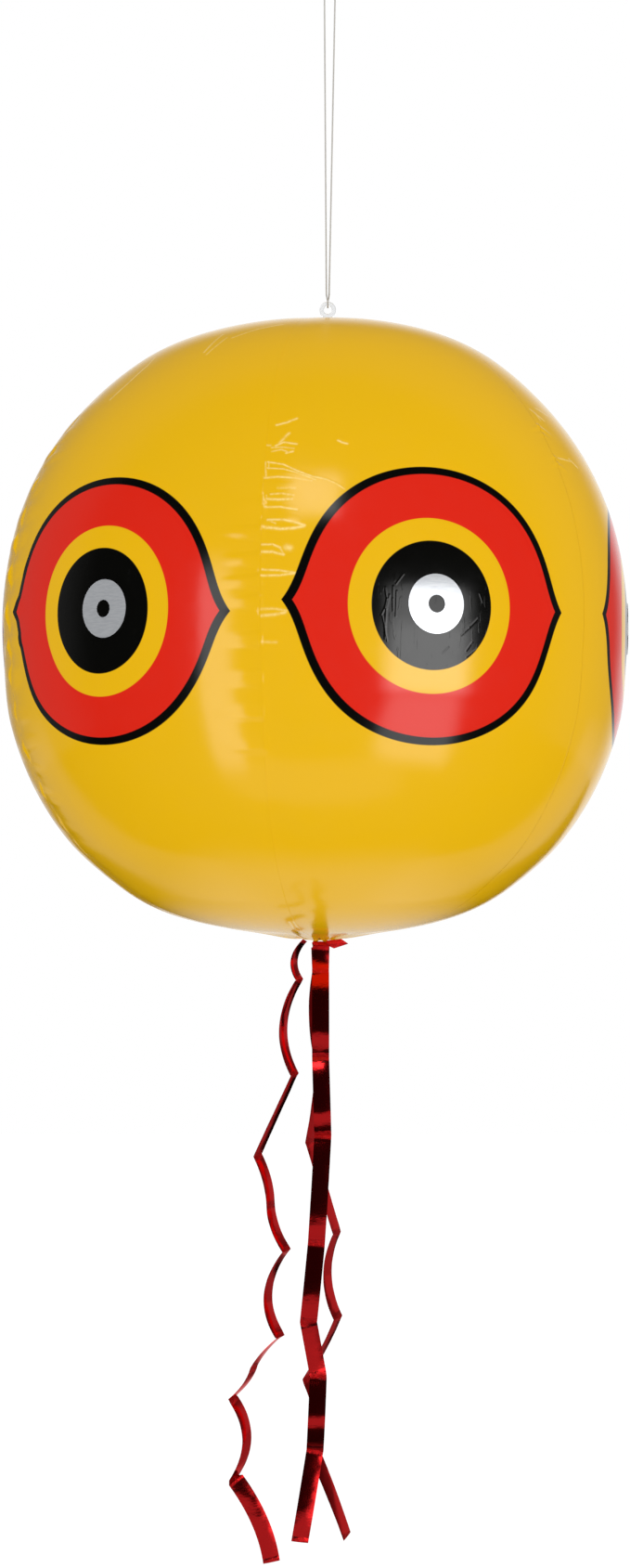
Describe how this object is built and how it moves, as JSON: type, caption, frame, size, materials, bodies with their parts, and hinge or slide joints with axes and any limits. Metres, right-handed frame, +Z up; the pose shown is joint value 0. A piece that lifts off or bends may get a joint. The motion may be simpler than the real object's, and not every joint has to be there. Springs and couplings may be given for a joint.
{
  "type": "bird scare balloon",
  "caption": "Hanging inflatable ball with printed scare eyes and foil rings, on a doubled cord, with red foil streamers knotted below.",
  "frame": {"origin": "the top of the cord's loop, where a hook holds it", "axes": "+Z up along the hanging line, -Y towards the front, +X to the right as seen from the front"},
  "size_m": [0.4003, 0.4, 1.0413],
  "materials": {
    "yellow_film": "gloss",
    "silver_foil": "polished",
    "clear_vinyl": "gloss",
    "white_cord": "satin",
    "red_foil": "gloss"
  },
  "bodies": {
    "hanging_loop": {"cord_loop": "white_cord", "cord_knot": "white_cord"},
    "cord_strands": {"cord_strand_left": "white_cord", "cord_strand_right": "white_cord"},
    "cord_bight": {"cord_bight": "white_cord"},
    "balloon": {"gore_1": "yellow_film", "gore_2": "yellow_film", "gore_3": "yellow_film", "gore_4": "yellow_film", "gore_5": "yellow_film", "gore_6": "yellow_film", "foil_ring_1": "silver_foil", "foil_ring_2": "silver_foil", "foil_ring_3": "silver_foil", "foil_ring_4": "silver_foil", "foil_ring_5": "silver_foil", "foil_ring_6": "silver_foil", "top_eyelet": "clear_vinyl", "bottom_eyelet": "yellow_film", "valve_flange": "clear_vinyl", "valve_membrane": "clear_vinyl", "streamer_knot": "red_foil", "streamer_tail": "red_foil"},
    "valve_stem": {"valve_stem": "clear_vinyl", "valve_strap": "clear_vinyl"},
    "valve_plug": {"valve_plug": "clear_vinyl"},
    "valve_flap": {"valve_flap": "clear_vinyl"},
    "streamer_left": {"streamer_left": "red_foil"},
    "streamer_front": {"streamer_front": "red_foil"},
    "streamer_rear": {"streamer_rear": "red_foil"}
  },
  "joints": [
    {"name": "cord_swing", "type": "hinge", "parent": "hanging_loop", "child": "cord_strands", "pos_m": [0, 0, -0.01655], "axis": [1, 0, 0], "range_deg": [-60, 60]},
    {"name": "ball_spin", "type": "hinge", "parent": "cord_strands", "child": "cord_bight", "pos_m": [-0.00135, 0, -0.218], "axis": [0, 0, 1], "range_deg": [-180, 180]},
    {"name": "ball_rock", "type": "hinge", "parent": "cord_bight", "child": "balloon", "pos_m": [-0.00135, 0, -0.22615], "axis": [0, 1, 0], "range_deg": [-40, 40]},
    {"name": "valve_push", "type": "slide", "parent": "balloon", "child": "valve_stem", "axis": [0.5826, 0.408, -0.7029], "range_m": [0, 0.012]},
    {"name": "plug_pull", "type": "slide", "parent": "valve_stem", "child": "valve_plug", "axis": [0.5826, 0.408, -0.7029], "range_m": [0, 0.012]},
    {"name": "flap_swing", "type": "hinge", "parent": "valve_stem", "child": "valve_flap", "pos_m": [0.09422, 0.07901, -0.56438], "axis": [-0.5758, -0.4032, -0.7113], "range_deg": [0, 60], "stiffness_Nm_per_rad": 0.001},
    {"name": "left_swing", "type": "hinge", "parent": "balloon", "child": "streamer_left", "pos_m": [-0.01595, 0.00198, -0.64041], "axis": [0, 1, 0], "range_deg": [-2, 50]},
    {"name": "front_swing", "type": "hinge", "parent": "balloon", "child": "streamer_front", "pos_m": [-0.00575, -0.0087, -0.6396], "axis": [-1, 0, 0], "range_deg": [-2, 55]},
    {"name": "rear_swing", "type": "hinge", "parent": "balloon", "child": "streamer_rear", "pos_m": [-0.00833, 0.0096, -0.64122], "axis": [1, 0, 0], "range_deg": [-2, 55]}
  ]
}
